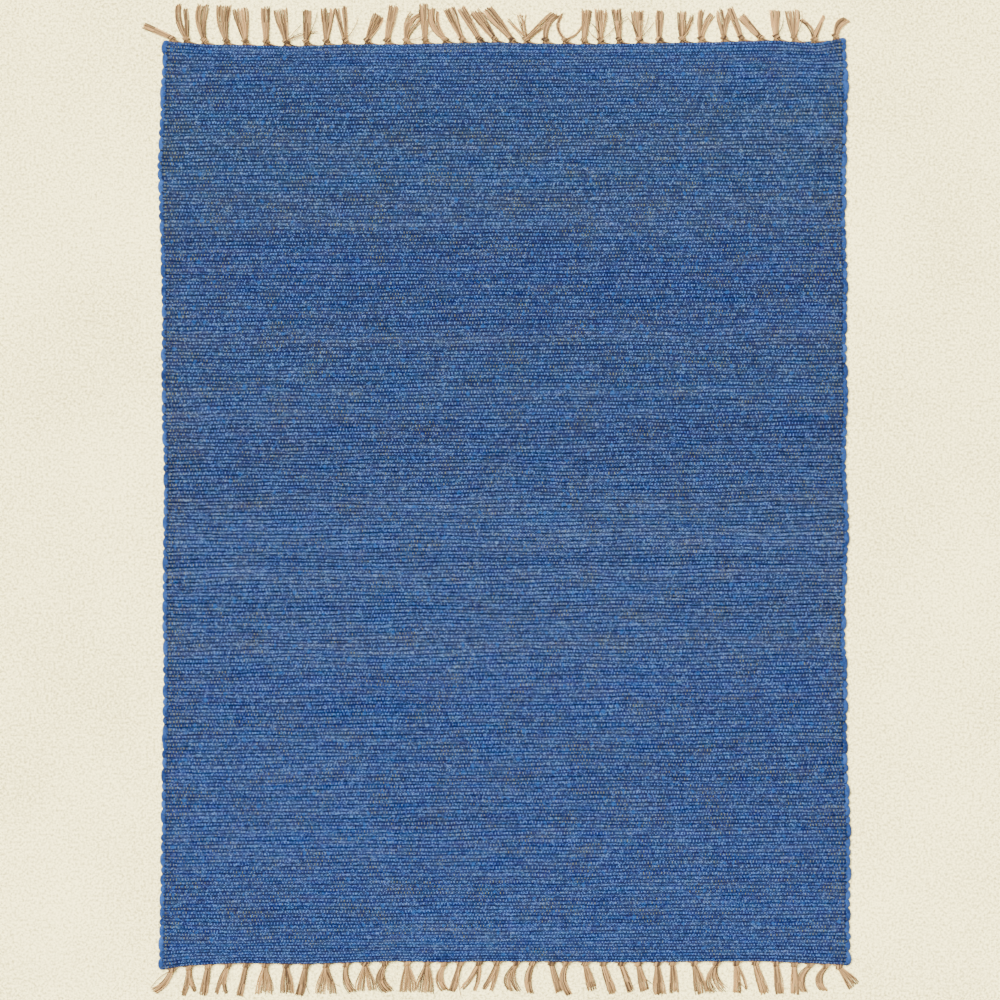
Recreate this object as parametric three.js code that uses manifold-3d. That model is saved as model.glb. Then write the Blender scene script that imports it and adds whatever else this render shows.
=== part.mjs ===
// A flat hand-woven rug: a thick blue wool weft beaten down over a thin jute warp, in plain weave.
// The warp ends are knotted in bundles and hang out as a short fringe at both ends.
// Millimetres. X runs across the rug, Y along it, and Z up from the floor it lies on.

import * as THREE from "three";
import { mergeVertices } from "three/addons/utils/BufferGeometryUtils.js";
import Module from "manifold-3d";

const wasm = await Module();
wasm.setup();

// The weave. A row is one pass of the weft, and shows as a rib across the rug.
const ROWS = 254;
const RIB_TOP = 8;
const RIB_DIP = 2.2;
const RIB_UNEVEN = 0.7;
const ROW_WANDER = 1.6;
const WANDER_WAVE = 520;
const ACROSS = 3;
const END_ROWS = 8;

// The selvage, where the weft turns back in loops that cover a few rows each.
const SELVAGE_WIDE = 6;
const SELVAGE_MIDDLE = 3.6;
const SELVAGE_FOOT = 1.6;
const SELVAGE_SHOULDER = 0.93;
const ROWS_A_FOOT = 2;

// The fringe. The warps run along the cloth's edge for a little way before they are knotted.
const EDGE_GAP = 0.3;
const BAND_TOP = 4.5;
const FAR_END = { out: 1, bandWide: 3.5, knotOff: 10.5 };
const NEAR_END = { out: -1, bandWide: 2.4, knotOff: 8 };
const LOCKS = 4;
const LOCK_WIDE = 7;
const LOCK_GAP = 0.7;
const LOCK_LENGTHS = [0.93, 1.02, 0.97, 1.05];
const KNOT_SPREAD = 7;

// Rows of a table become objects that are read by their column's name.
const named = (columns, rows) =>
  rows.map((row) => Object.fromEntries(columns.map((column, i) => [column, row[i]])));

// The cloth's long edges, from the far end to the near end: where along the rug, and how far from its middle.
const leftEdge = named(["at", "is"], [
  [943, -691],
  [812, -696],
  [689, -702],
  [566, -698],
  [443, -694],
  [197, -694],
  [74, -690],
  [-234, -692],
  [-357, -690],
  [-603, -694],
  [-787, -696],
  [-951, -700],
]);
const rightEdge = named(["at", "is"], [
  [949, 704],
  [873, 709],
  [750, 707],
  [566, 704],
  [443, 709],
  [320, 706],
  [197, 709],
  [74, 704],
  [-49, 712],
  [-200, 705],
  [-295, 703],
  [-357, 709],
  [-500, 707],
  [-603, 711],
  [-695, 715],
  [-818, 713],
  [-951, 714],
]);

// The cloth's short edges, from left to right.
const farEdge = named(["at", "is"], [
  [-684, 943],
  [-606, 937],
  [-503, 935],
  [-421, 933],
  [-319, 937],
  [-196, 937],
  [-114, 939],
  [-11, 941],
  [50, 939],
  [173, 937],
  [296, 939],
  [419, 941],
  [563, 945],
  [645, 939],
  [696, 948],
]);
const nearEdge = named(["at", "is"], [
  [-684, -957],
  [-647, -951],
  [-585, -947],
  [-524, -945],
  [-401, -947],
  [-278, -943],
  [-216, -941],
  [-114, -943],
  [-32, -941],
  [276, -943],
  [522, -941],
  [583, -943],
  [624, -945],
  [704, -949],
]);

// The loops of the selvage, which repeat down each side: rows under a loop, and how far it stands out.
const loops = named(["rows", "reach"], [
  [3, 2.6],
  [2, 1.4],
  [4, 4.2],
  [3, 2.0],
  [2, 3.0],
  [3, 1.2],
  [4, 3.4],
  [2, 2.2],
]);
const LEFT_REACH = 0.8;
const RIGHT_REACH = 1.2;
const RIGHT_SHIFT = 5;

// The head of a tassel, on its left and on its right. The warps leave the band low down, mostly from the right,
// and the knot's corners are measured across and forwards from its middle.
const headCorners = named(["root", "drawn", "foot", "wide", "top"], [
  [-4.5, -2.6, -6.4, -8.0, -3.6],
  [14.0, 3.4, 6.4, 8.0, 3.6],
]);
const ROOT_OFF = 1.6;
const ROOT_TOP = 3.6;
const DRAWN_BACK = 3.4;
const DRAWN_TOP = 7.4;
const KNOT_FRONT = 4.2;
const KNOT_WAIST = 4.4;
const KNOT_TOP = 9;

// The tassels from left to right: the knot's place, its tip's place from the knot sideways and outwards,
// the width of its fan, how far its middle bows to the right, and how far its halves part.
const tasselColumns = ["at", "lean", "reach", "fan", "bow", "part"];
const farTassels = named(tasselColumns, [
  [-675, -57, 23, 12, 0, 0],
  [-645, -10, 66, 25, 0, 0.5],
  [-608, -2, 66, 25, -4, 0],
  [-563, -4, 66, 25, 0, 0],
  [-524, -10, 61, 31, 0, 0.2],
  [-481, -2, 64, 18, 0, 0],
  [-440, -12, 61, 27, 0, 0],
  [-399, 2, 59, 16, 0, 0],
  [-358, 4, 61, 29, 0, 0],
  [-319, -10, 61, 25, 0, 0.3],
  [-274, 25, 47, 23, 0, 0],
  [-233, 14, 64, 18, 0, 0],
  [-194, 20, 53, 38, 4, 0.3],
  [-155, -4, 66, 18, 0, 0],
  [-114, -23, 59, 16, -10, 0],
  [-79, -27, 57, 23, 0, 0],
  [-44, -37, 57, 16, 0, 0],
  [-13, -41, 51, 20, 0, 0],
  [22, -51, 55, 23, 0, 0],
  [52, 8, 49, 80, 0, 0.9],
  [91, 8, 53, 16, 0, 0],
  [132, 14, 45, 46, 0, 0.9],
  [171, 6, 57, 20, 0, 0],
  [204, 2, 57, 25, 0, 0],
  [243, -6, 57, 18, 0, 0],
  [284, -4, 53, 25, 0, 0],
  [325, 2, 53, 14, 0, 0],
  [372, 4, 49, 29, 0, 0.4],
  [411, 8, 53, 31, 0, 0.3],
  [458, -4, 53, 25, 0, 0],
  [493, -23, 55, 12, 0, 0],
  [532, -39, 39, 16, 0, 0],
  [565, -2, 49, 20, 0, 0],
  [602, -4, 51, 29, 0, 0],
  [643, 0, 47, 41, 0, 1],
  [686, 25, 31, 16, -8, 0],
]);
const nearTassels = named(tasselColumns, [
  [-674, -33, 41, 16, 14, 0],
  [-639, 0, 51, 33, 0, 0.9],
  [-600, -10, 55, 16, 0, 0],
  [-559, -16, 55, 29, -4, 0.7],
  [-522, -14, 59, 13, 0, 0],
  [-483, -2, 55, 37, 0, 0],
  [-440, 2, 53, 27, 0, 0],
  [-399, -14, 57, 16, 0, 0],
  [-358, 0, 55, 41, 0, 0.2],
  [-317, 14, 53, 14, 0, 0],
  [-278, 2, 51, 41, 0, 0.2],
  [-237, 6, 55, 25, -14, 0],
  [-192, 2, 55, 33, 0, 0],
  [-151, -6, 55, 37, 0, 0],
  [-116, 2, 51, 16, -12, 0],
  [-83, -16, 53, 14, 0, 0],
  [-44, -23, 53, 33, -4, 0.8],
  [-7, -20, 55, 25, 0, 0.6],
  [32, -4, 53, 27, -12, 0],
  [65, -4, 57, 14, -8, 0],
  [104, 16, 55, 13, 0, 0],
  [134, 6, 61, 13, -10, 0],
  [173, 16, 51, 18, 0, 0],
  [210, 20, 57, 16, 0, 0],
  [247, 20, 53, 14, 0, 0],
  [282, 14, 51, 18, 0, 0],
  [321, 6, 59, 25, 0, 0],
  [352, 4, 55, 18, 0, 0],
  [397, 16, 57, 25, 0, 0],
  [442, 4, 55, 33, -12, 0.2],
  [483, 4, 55, 29, 0, 0.3],
  [522, 20, 59, 18, 0, 0],
  [565, 8, 57, 16, 0, 0],
  [602, 2, 57, 16, 0, 0],
  [634, -12, 51, 16, -12, 0],
  [667, -4, 47, 16, -14, 0],
  [694, 31, 37, 25, 0, 0],
]);

// Materials: the wool as it looks on average, and natural jute.
const wool = new THREE.MeshStandardMaterial({ color: 0x42608c, roughness: 0.95, metalness: 0 });
const jute = new THREE.MeshStandardMaterial({ color: 0xb8966b, roughness: 0.9, metalness: 0 });

// The value between a table's rows on a straight line, whichever way the table runs, level past its ends.
function read(table, at) {
  const rising = table[0].at < table[table.length - 1].at;
  const rows = rising ? table : [...table].reverse();
  if (at <= rows[0].at) return rows[0].is;
  const next = rows.findIndex((row) => row.at >= at);
  if (next < 0) return rows[rows.length - 1].is;
  const before = rows[next - 1];
  const share = (at - before.at) / (rows[next].at - before.at);
  return THREE.MathUtils.lerp(before.is, rows[next].is, share);
}

// A fixed number from 0 to 1 that looks random, for unevenness that is the same each time.
function uneven(i) {
  const wave = Math.sin(i * 12.9898 + 4.1414) * 43758.5453;
  return wave - Math.floor(wave);
}

// How far the selvage stands out at a row, from 0 where two loops meet to a loop's reach at its middle.
function loopReach(row) {
  const rowsInRepeat = loops.reduce((sum, loop) => sum + loop.rows, 0);
  let left = ((row % rowsInRepeat) + rowsInRepeat) % rowsInRepeat;
  for (const loop of loops) {
    if (left <= loop.rows) return loop.reach * Math.sin((Math.PI * left) / loop.rows);
    left -= loop.rows;
  }
  return 0;
}

// A closed surface that is put together from lines of points.
class Skin {
  constructor() {
    this.points = [];
    this.faces = [];
  }

  // Adds a line of points and gives their numbers.
  line(points) {
    const first = this.points.length;
    this.points.push(...points);
    return points.map((_, i) => first + i);
  }

  // Joins two lines that run the same way along an axis, point by point, with triangles.
  zip(below, above, axis) {
    const along = (number) => this.points[number].getComponent(axis);
    let i = 0;
    let j = 0;
    while (i < below.length - 1 || j < above.length - 1) {
      const belowNext = i < below.length - 1 ? along(below[i + 1]) : Infinity;
      const aboveNext = j < above.length - 1 ? along(above[j + 1]) : Infinity;
      if (belowNext <= aboveNext) {
        this.faces.push(below[i], below[i + 1], above[j]);
        i += 1;
      } else {
        this.faces.push(below[i], above[j + 1], above[j]);
        j += 1;
      }
    }
  }

  quad(a, b, c, d) {
    this.faces.push(a, b, c, a, c, d);
  }

  // Closes a ring of points with triangles that face the way in which the flattened ring runs anticlockwise.
  patch(ring, flatten) {
    const contour = ring.map((number) => flatten(this.points[number]));
    const corners = THREE.ShapeUtils.triangulateShape(contour, []);
    corners.forEach((corner) => this.faces.push(...corner.map((i) => ring[i])));
  }

  geometry() {
    const geometry = new THREE.BufferGeometry().setFromPoints(this.points);
    geometry.setIndex(this.faces);
    return geometry;
  }
}

// How much of an end's waviness a row takes up, from all of it at that end to none a few rows in.
const takesUp = (rowsFromEnd) => Math.max(0, 1 - rowsFromEnd / END_ROWS);

// The straight line between the two ends of an edge's table.
const chord = (edge, x) => read([edge[0], edge[edge.length - 1]], x);

// Where a row runs at a place across the rug, at its share of the way from the near to the far end.
function rowY(x, along) {
  const nearLine = chord(nearEdge, x);
  const farLine = chord(farEdge, x);
  const straight = THREE.MathUtils.lerp(nearLine, farLine, along);
  const atNear = (read(nearEdge, x) - nearLine) * takesUp(along * ROWS);
  const atFar = (read(farEdge, x) - farLine) * takesUp((1 - along) * ROWS);
  const wander = ROW_WANDER * 4 * along * (1 - along);
  return straight + atNear + atFar + wander * Math.sin((2 * Math.PI * (x + 3 * straight)) / WANDER_WAVE);
}

// The place of a side of the cloth, left or right, drawn in by an inset.
function sideX(isRight, along, inset) {
  const y = THREE.MathUtils.lerp(nearEdge[0].is, farEdge[0].is, along);
  return isRight ? read(rightEdge, y) - inset : read(leftEdge, y) + inset;
}

// The edge whose waviness a row follows point by point, or none in the middle of the rug.
function edgeFollowed(along) {
  if (takesUp(along * ROWS) > 0) return nearEdge;
  return takesUp((1 - along) * ROWS) > 0 ? farEdge : null;
}

const clothPoint = (x, along, height) => new THREE.Vector3(x, rowY(x, along), height);

// One line across the top of the cloth: out at the selvage, up its shoulder, across, and down again.
function topLine(step) {
  const along = step / (2 * ROWS);
  const row = step / 2;
  const isTop = step % 2 === 1;
  const height = RIB_TOP - RIB_UNEVEN * uneven(Math.floor(row)) - (isTop ? 0 : RIB_DIP);
  const left = sideX(false, along, -LEFT_REACH * loopReach(row));
  const right = sideX(true, along, -RIGHT_REACH * loopReach(row + RIGHT_SHIFT));
  const shoulders = [sideX(false, along, SELVAGE_WIDE), sideX(true, along, SELVAGE_WIDE)];
  const edge = edgeFollowed(along);
  const inside = edge
    ? edge.map(({ at }) => at)
    : Array.from({ length: ACROSS - 1 }, (_, i) => THREE.MathUtils.lerp(...shoulders, (i + 1) / ACROSS));
  return [
    clothPoint(left, along, SELVAGE_MIDDLE),
    clothPoint(shoulders[0], along, SELVAGE_SHOULDER * height),
    ...inside.map((x) => clothPoint(x, along, height)),
    clothPoint(shoulders[1], along, SELVAGE_SHOULDER * height),
    clothPoint(right, along, SELVAGE_MIDDLE),
  ];
}

// One line across the flat underside, as far as the floor is touched. The first and last follow the edges.
function footLine(along) {
  const left = sideX(false, along, SELVAGE_FOOT);
  const right = sideX(true, along, SELVAGE_FOOT);
  const inside = along === 0 || along === 1 ? edgeFollowed(along).map(({ at }) => at) : [];
  return [left, ...inside, right].map((x) => clothPoint(x, along, 0));
}

// The woven cloth as one closed solid with its weft rows raised as ribs, flat underneath.
function wovenField() {
  const skin = new Skin();
  const tops = Array.from({ length: 2 * ROWS + 1 }, (_, step) => skin.line(topLine(step)));
  const feet = Array.from({ length: ROWS / ROWS_A_FOOT + 1 }, (_, i) =>
    skin.line(footLine((i * ROWS_A_FOOT) / ROWS)));
  for (let i = 1; i < tops.length; i += 1) skin.zip(tops[i - 1], tops[i], 0);
  for (let i = 1; i < feet.length; i += 1) skin.zip(feet[i], feet[i - 1], 0);
  const first = (lines) => lines.map((line) => line[0]);
  const last = (lines) => lines.map((line) => line[line.length - 1]);
  skin.zip(first(tops), first(feet), 1);
  skin.zip(last(feet), last(tops), 1);
  skin.zip(feet[0], tops[0], 0);
  skin.zip(tops[tops.length - 1], feet[feet.length - 1], 0);
  return skin.geometry();
}

// A closed solid through rings of equally many points, with flat ends.
function loft(rings) {
  const around = rings[0].length;
  const points = rings.flat();
  const faces = [];
  for (let ring = 0; ring < rings.length - 1; ring += 1) {
    for (let i = 0; i < around; i += 1) {
      const a = ring * around + i;
      const b = ring * around + ((i + 1) % around);
      faces.push(a, b, b + around, a, b + around, a + around);
    }
  }
  const end = (rings.length - 1) * around;
  for (let i = 1; i < around - 1; i += 1) {
    faces.push(0, i + 1, i, end, end + i, end + i + 1);
  }
  return outward(points, faces);
}

// Turns the faces round if the solid's volume comes out negative, and hands it over for joining.
function outward(points, faces) {
  let volume = 0;
  for (let i = 0; i < faces.length; i += 3) {
    const [a, b, c] = [points[faces[i]], points[faces[i + 1]], points[faces[i + 2]]];
    volume += a.dot(new THREE.Vector3().crossVectors(b, c));
  }
  const turned = volume < 0 ? [...faces].reverse() : faces;
  return new wasm.Manifold(new wasm.Mesh({
    numProp: 3,
    vertProperties: new Float32Array(points.flatMap((point) => point.toArray())),
    triVerts: new Uint32Array(turned),
  }));
}

// The warp ends that run along the cloth's edge: a low band that keeps its gap to the cloth all the way.
function edgeBand(edge, { out, bandWide }) {
  return loft(edge.map(({ at, is }) => {
    const near = is + out * EDGE_GAP;
    const far = near + out * bandWide;
    return [
      new THREE.Vector3(at, near, 0),
      new THREE.Vector3(at, far, 0),
      new THREE.Vector3(at, far, BAND_TOP),
      new THREE.Vector3(at, near, BAND_TOP),
    ];
  }));
}

// Where a lock lies across the tassel, from its number and how far the tassel's halves part there.
function lockAcross(i, part) {
  const even = i / (LOCKS - 1) - 0.5;
  const parted = (Math.sign(even) * (0.5 + Math.abs(even))) / 2;
  return THREE.MathUtils.lerp(even, parted, part);
}

// The three points across a lock, left, top and right, at its share of the way from the knot to the tip.
function lockSection(frame, tassel, i, reach, { share, fan, bow, high }) {
  const part = tassel.part * share;
  const sideways = lockAcross(i, part) * fan + bow;
  const spacing = fan * (lockAcross(LOCKS - 1, part) - lockAcross(LOCKS - 2, part));
  const half = Math.min(LOCK_WIDE, spacing - LOCK_GAP) / 2;
  return [
    frame(sideways - half, reach * share, 0),
    frame(sideways, reach * share, high),
    frame(sideways + half, reach * share, 0),
  ];
}

// One tassel as a closed solid, drawn as if at the far end: its head, and four locks with flat undersides
// that grow from the head's front and fan out across the way the tassel points.
function tasselSolid(edge, tassel, number, { out, knotOff }) {
  const skin = new Skin();
  const edgeAt = (x) => out * read(edge, x);
  const length = Math.hypot(tassel.lean, tassel.reach);
  const way = new THREE.Vector2(tassel.lean, tassel.reach).divideScalar(length);
  const side = new THREE.Vector2(way.y, -way.x);
  const middle = new THREE.Vector2(tassel.at, edgeAt(tassel.at) + knotOff);
  const frame = (sideways, forwards, z) => new THREE.Vector3(
    middle.x + side.x * sideways + way.x * forwards,
    middle.y + side.y * sideways + way.y * forwards,
    z,
  );
  const atEdge = (right, off, z) => {
    const x = Math.min(tassel.at + right, edge[edge.length - 1].at);
    return new THREE.Vector3(x, edgeAt(x) + off, z);
  };

  const stations = named(["share", "fan", "bow", "high"], [
    [KNOT_FRONT / length, KNOT_SPREAD, 0, 5],
    [0.5, (KNOT_SPREAD + tassel.fan) / 2, tassel.bow, 3.4],
    [1, tassel.fan, 0, 2],
  ]);
  const lockSections = Array.from({ length: LOCKS }, (_, i) => {
    const reach = length * LOCK_LENGTHS[(i + number) % LOCKS];
    return stations.map((station, s) =>
      skin.line(lockSection(frame, tassel, i, s === 0 ? length : reach, station)));
  });
  lockSections.forEach((sections) => {
    for (let s = 1; s < sections.length; s += 1) {
      const [left, top, right] = sections[s - 1];
      const [nextLeft, nextTop, nextRight] = sections[s];
      skin.quad(left, top, nextTop, nextLeft);
      skin.quad(top, right, nextRight, nextTop);
      skin.quad(right, left, nextLeft, nextRight);
    }
    const [left, top, right] = sections[sections.length - 1];
    skin.faces.push(left, top, right);
  });

  const [l, r] = headCorners.map((corner) => {
    const [root, rootUp, drawn, foot, wide, top] = skin.line([
      atEdge(corner.root, ROOT_OFF, 0),
      atEdge(corner.root, ROOT_OFF, ROOT_TOP),
      atEdge(corner.drawn, knotOff - DRAWN_BACK, DRAWN_TOP),
      frame(corner.foot, 0, 0),
      frame(corner.wide, 0, KNOT_WAIST),
      frame(corner.top, KNOT_FRONT / 2, KNOT_TOP),
    ]);
    return { root, rootUp, drawn, foot, wide, top };
  });
  skin.quad(l.foot, l.root, l.rootUp, l.wide);
  skin.quad(l.wide, l.rootUp, l.drawn, l.top);
  skin.quad(r.root, r.foot, r.wide, r.rootUp);
  skin.quad(r.rootUp, r.wide, r.top, r.drawn);
  skin.quad(l.root, r.root, r.rootUp, l.rootUp);
  skin.quad(l.rootUp, r.rootUp, r.drawn, l.drawn);
  skin.quad(l.drawn, r.drawn, r.top, l.top);

  const roots = lockSections.map((sections) => sections[0]);
  const floorRing = [l.root, l.foot, ...roots.flatMap(([left, , right]) => [left, right]), r.foot, r.root];
  skin.patch(floorRing, (point) => new THREE.Vector2(point.y, point.x));
  skin.patch([l.foot, ...roots.flat(), r.foot, r.wide, r.top, l.top, l.wide],
    (point) => new THREE.Vector2(point.z, point.x * side.x + point.y * side.y));
  const placed = skin.points.map((point) => new THREE.Vector3(point.x, out * point.y, point.z));
  return outward(placed, skin.faces);
}

// A whole fringe as one closed solid: the band at its root, and its tassels.
function fringe(edge, tassels, end) {
  const solids = tassels.map((tassel, number) => tasselSolid(edge, tassel, number, end));
  const whole = solids.reduce((joined, solid) => joined.add(solid), edgeBand(edge, end)).getMesh();
  const geometry = new THREE.BufferGeometry();
  geometry.setAttribute("position", new THREE.BufferAttribute(whole.vertProperties, 3));
  geometry.setIndex(new THREE.BufferAttribute(whole.triVerts, 1));
  return mergeVertices(geometry);
}

function piece(name, geometry, material) {
  const mesh = new THREE.Mesh(geometry, material);
  mesh.name = name;
  return mesh;
}

const rug = new THREE.Group();
rug.add(
  piece("woven_field", wovenField(), wool),
  piece("fringe_far", fringe(farEdge, farTassels, FAR_END), jute),
  piece("fringe_near", fringe(nearEdge, nearTassels, NEAR_END), jute),
);

// The origin is on the floor under the middle of the rug and its fringes.
const middle = new THREE.Box3().setFromObject(rug).getCenter(new THREE.Vector3());
rug.position.set(-middle.x, -middle.y, 0);
rug.updateMatrixWorld(true);

export default rug;
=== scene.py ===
"""A hand-woven flat rug: thick blue wool beaten down over thin jute warps, a knotted fringe at both ends.

Shapes are worked out in millimetres, in the drawing's own frame, and put into meshes in metres, moved so that
they lie where the CAD solids lie. X runs across the rug, Y along it, and Z up from the floor.
"""

from functools import partial

import bpy
import numpy as np
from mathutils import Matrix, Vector


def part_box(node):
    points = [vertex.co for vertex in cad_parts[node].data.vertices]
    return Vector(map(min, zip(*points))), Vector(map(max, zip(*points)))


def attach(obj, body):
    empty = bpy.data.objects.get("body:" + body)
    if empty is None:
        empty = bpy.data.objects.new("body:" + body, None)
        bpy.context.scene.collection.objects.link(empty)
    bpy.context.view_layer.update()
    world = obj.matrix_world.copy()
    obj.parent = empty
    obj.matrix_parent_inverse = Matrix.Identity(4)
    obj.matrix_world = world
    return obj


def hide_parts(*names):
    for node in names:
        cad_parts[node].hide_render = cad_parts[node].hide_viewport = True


bl_info = {
    "name": "Fringed flatweave rug",
    "version": (1, 0, 0),
    "blender": (4, 5, 0),
    "location": "View3D > Sidebar > Rug",
    "description": "Makes a hand-woven wool rug with a knotted jute fringe",
    "category": "Add Mesh",
}

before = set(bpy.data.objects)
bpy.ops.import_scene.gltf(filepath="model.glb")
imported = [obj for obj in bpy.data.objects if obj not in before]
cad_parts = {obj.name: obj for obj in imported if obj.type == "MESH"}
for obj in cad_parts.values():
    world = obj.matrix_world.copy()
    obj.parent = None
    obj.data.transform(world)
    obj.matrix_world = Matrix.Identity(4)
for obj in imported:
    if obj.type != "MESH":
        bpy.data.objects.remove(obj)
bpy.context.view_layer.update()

MM = 0.001
SEED = 41


def table(*entries):
    """An array with a line for each entry. What an entry leaves out at its end is nil."""
    width = max(map(len, entries))
    return np.array([(*entry, *[0] * (width - len(entry))) for entry in entries], dtype=float)


# The weave: a row is one pass of the weft, and U counts warps across from the left selvage.
ROWS = 254
WARPS = 452
RIB_TOP = 8.0
RIB_DIP = 2.1
RIB_UNEVEN = 0.7
BEAD = 0.75
THICK_AND_THIN = 0.9
ROUGH = 0.8
ZIGZAG = 0.15
ROW_WANDER = 1.6
WANDER_WAVE = 520.0
END_ROWS = 8
END_ROUND = 0.34
STEPS_A_ROW = 3
BAND_NAMES = ("weft_rows_1", "weft_rows_2", "weft_rows_3", "weft_rows_4")
# the row over which the grooves' painted shade is darkest
DARKEST_SHADE_ROW = 118.0

# The cloth's underside, and the sheet below the rows.
UNDER_SKIP = 21
UNDER_Z = 1.4
SHEET_IN = 4.4
SHEET_SHORT = 2.0
SHEET_TOP = 3.0

# How the rows' lines sway: patches so many warps wide and so many rows high, how far, and their seed.
SWAYS = ((11.0, 1.0, 2.0, 5), (45.0, 6.0, 3.0, 7), (300.0, 1.0, 1.6, 9))

# The rows' way down round the selvage: how far in from the edge, and the share of the height.
ROUND_EDGE = table((4.2, 0.18), (2.4, 0.28), (1.6, 0.5), (3.0, 0.76), (6.0, 0.92))

# The selvage, where the weft turns back in loops that cover a few rows each.
SELVAGE_IN = 10.0
LOOP_FOOT = 12.0
LOOP_GAP = 0.26
LOOP_Z = 3.9
LEFT_REACH = 0.8
RIGHT_REACH = 1.2
RIGHT_SHIFT = 5

# The photo's cloth reaches a little further than the solids on two sides, and so do the tassels' strands.
RIGHT_FURTHER = 2.0
NEAR_FURTHER = 3.0
FAR_LONGER = 1.1
NEAR_LONGER = 1.06

# A sheaf of strands: its width at the knot, how far each sways, which share of them is broken off, and where.
WAIST = 9.0
STRAND_SWAY = 2.6
BROKEN = 0.15
BROKEN_LENGTH = 0.9

# The knots: their turns of strand, half their length, width and height, and how high their middle lies.
KNOT_TURNS = 6
KNOT_LENGTH = 5.8
KNOT_WIDTH = 4.4
KNOT_HEIGHT = 3.6
KNOT_Z = 4.9

# The picture, in metres: how much it shows, the camera's height and its own, and the floor under it.
PICTURE = 2.05
CAMERA_Z = 6.006
PICTURE_Z = 0.006
FLOOR_HALF = 9
FLOOR_Z = -0.0004

# The yarns' place in the materials: each begins this much further on than the one before.
YARN_STEP = 37.0

# The cloth's long edges: the place along the rug, and how far from its middle, from the near to the far end.
LEFT_EDGE = table(
    (-951, -700), (-787, -696), (-603, -694), (-357, -690), (-234, -692), (74, -690), (197, -694),
    (443, -694), (566, -698), (689, -702), (812, -696), (943, -691),
)
RIGHT_EDGE = table(
    (-951, 714), (-818, 713), (-695, 715), (-603, 711), (-500, 707), (-357, 709), (-295, 703), (-200, 705),
    (-49, 712), (74, 704), (197, 709), (320, 706), (443, 709), (566, 704), (750, 707), (873, 709), (949, 704),
)
RIGHT_EDGE[:, 1] += RIGHT_FURTHER

# The cloth's short edges, from left to right: the place across, and the place along.
FAR_EDGE = table(
    (-684, 943), (-606, 937), (-503, 935), (-421, 933), (-319, 937), (-196, 937), (-114, 939), (-11, 941),
    (50, 939), (173, 937), (296, 939), (419, 941), (563, 945), (645, 939), (696, 948),
)
NEAR_EDGE = table(
    (-684, -957), (-647, -951), (-585, -947), (-524, -945), (-401, -947), (-278, -943), (-216, -941),
    (-114, -943), (-32, -941), (276, -943), (522, -941), (583, -943), (624, -945), (704, -949),
)
NEAR_EDGE[:, 1] -= NEAR_FURTHER

# The selvage's loops, which repeat down each side: rows under a loop, and how far it stands out.
LOOPS = table((3, 2.6), (2, 1.4), (4, 4.2), (3, 2.0), (2, 3.0), (3, 1.2), (4, 3.4), (2, 2.2))

# Larger loops, on the left and the right: the first row, how many rows, and how far it stands out.
LEFT_LOBES = table((250.3, 3.6, 4.2), (237.5, 4.5, 3.6), (61.5, 3.5, 3.0), (0.2, 2.6, 2.0))
RIGHT_LOBES = table((250.6, 3.2, 1.5), (238.6, 4.2, 5.0), (155.5, 4.0, 3.4), (0.2, 3.0, 4.0))

# The skeins' shades: the row, how many rows to each side, and how much lighter the wool is; then, where they
# aren't as in WHOLE_WIDTH, from and to which share of the width, and how many rows it climbs on the way.
WHOLE_WIDTH = (-0.1, 1.1, 0)
SHADES = (
    (246.6, 3, 0.08, 0.78), (242.3, 1.4, -0.17, 0.14, 0.68, -1), (236.8, 1.2, -0.12, 0.1, 0.32),
    (230.4, 3, 0.11, 0.88), (230.2, 1.5, -0.13, 0.12, 0.52), (223.6, 1.1, -0.13, -0.1, 0.13),
    (200, 1.6, -0.15, -0.1, 0.62), (195, 4.5, -0.06, 0.28, 0.8, -3), (185.3, 1.8, -0.16, 0.76),
    (184, 2.4, -0.07, 0.15, 0.8), (176.5, 1.7, -0.16, 0.18, 0.66), (167.2, 3, -0.05, -0.1, 1.1, -2),
    (161, 26, -0.03), (149.1, 2.4, -0.17, 0.66), (149.5, 2, -0.08, 0.15, 0.7), (139.2, 6.5, -0.05),
    (127.1, 4, 0.06, 0.2, 0.6), (112.3, 1.1, -0.08, 0.15), (108.5, 1.3, 0.1, -0.1, 0.2),
    (104, 26, 0.035), (96.4, 1.3, 0.09, 0.04, 0.22), (87.7, 3.2, 0.05), (76, 8, -0.04, 0.65),
    (68.5, 1.5, -0.06, 0.48, 0.66), (59, 5, -0.045, 0.72), (21.9, 1.6, 0.05, 0.35),
    (15.3, 1.3, -0.16, 0.02, 0.52, -1), (14.6, 1.2, -0.05, 0.5), (5.4, 2.2, 0.06, 0.25, 0.75),
    (252.5, 3, 0.06), (217, 20, -0.045), (210, 3.5, -0.03), (139, 8, 0.025), (117, 9, 0.075),
    (98, 9, 0.045, -0.1, 0.75), (65, 4, 0.07), (50, 12, 0.035, -0.1, 0.36), (40, 32, 0.05, -0.1, 0.75),
    (14, 12, 0.035, 0.65), (122.5, 5, 0.1), (112, 7, 0.05), (102, 5, 0.04), (65, 4, 0.07, 0.6),
    (54, 6, 0.08, -0.1, 0.36), (36, 8, 0.08, -0.1, 0.36), (32, 14, 0.05), (10, 6, 0.09, 0.3, 0.7),
    (18, 6, 0.05, 0.65), (228, 6, -0.06, -0.1, 0.7), (209, 4, -0.07, -0.1, 0.36),
    (237, 5, -0.05, -0.1, 0.36), (200, 3, -0.05, 0.3, 0.7),
)

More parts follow.
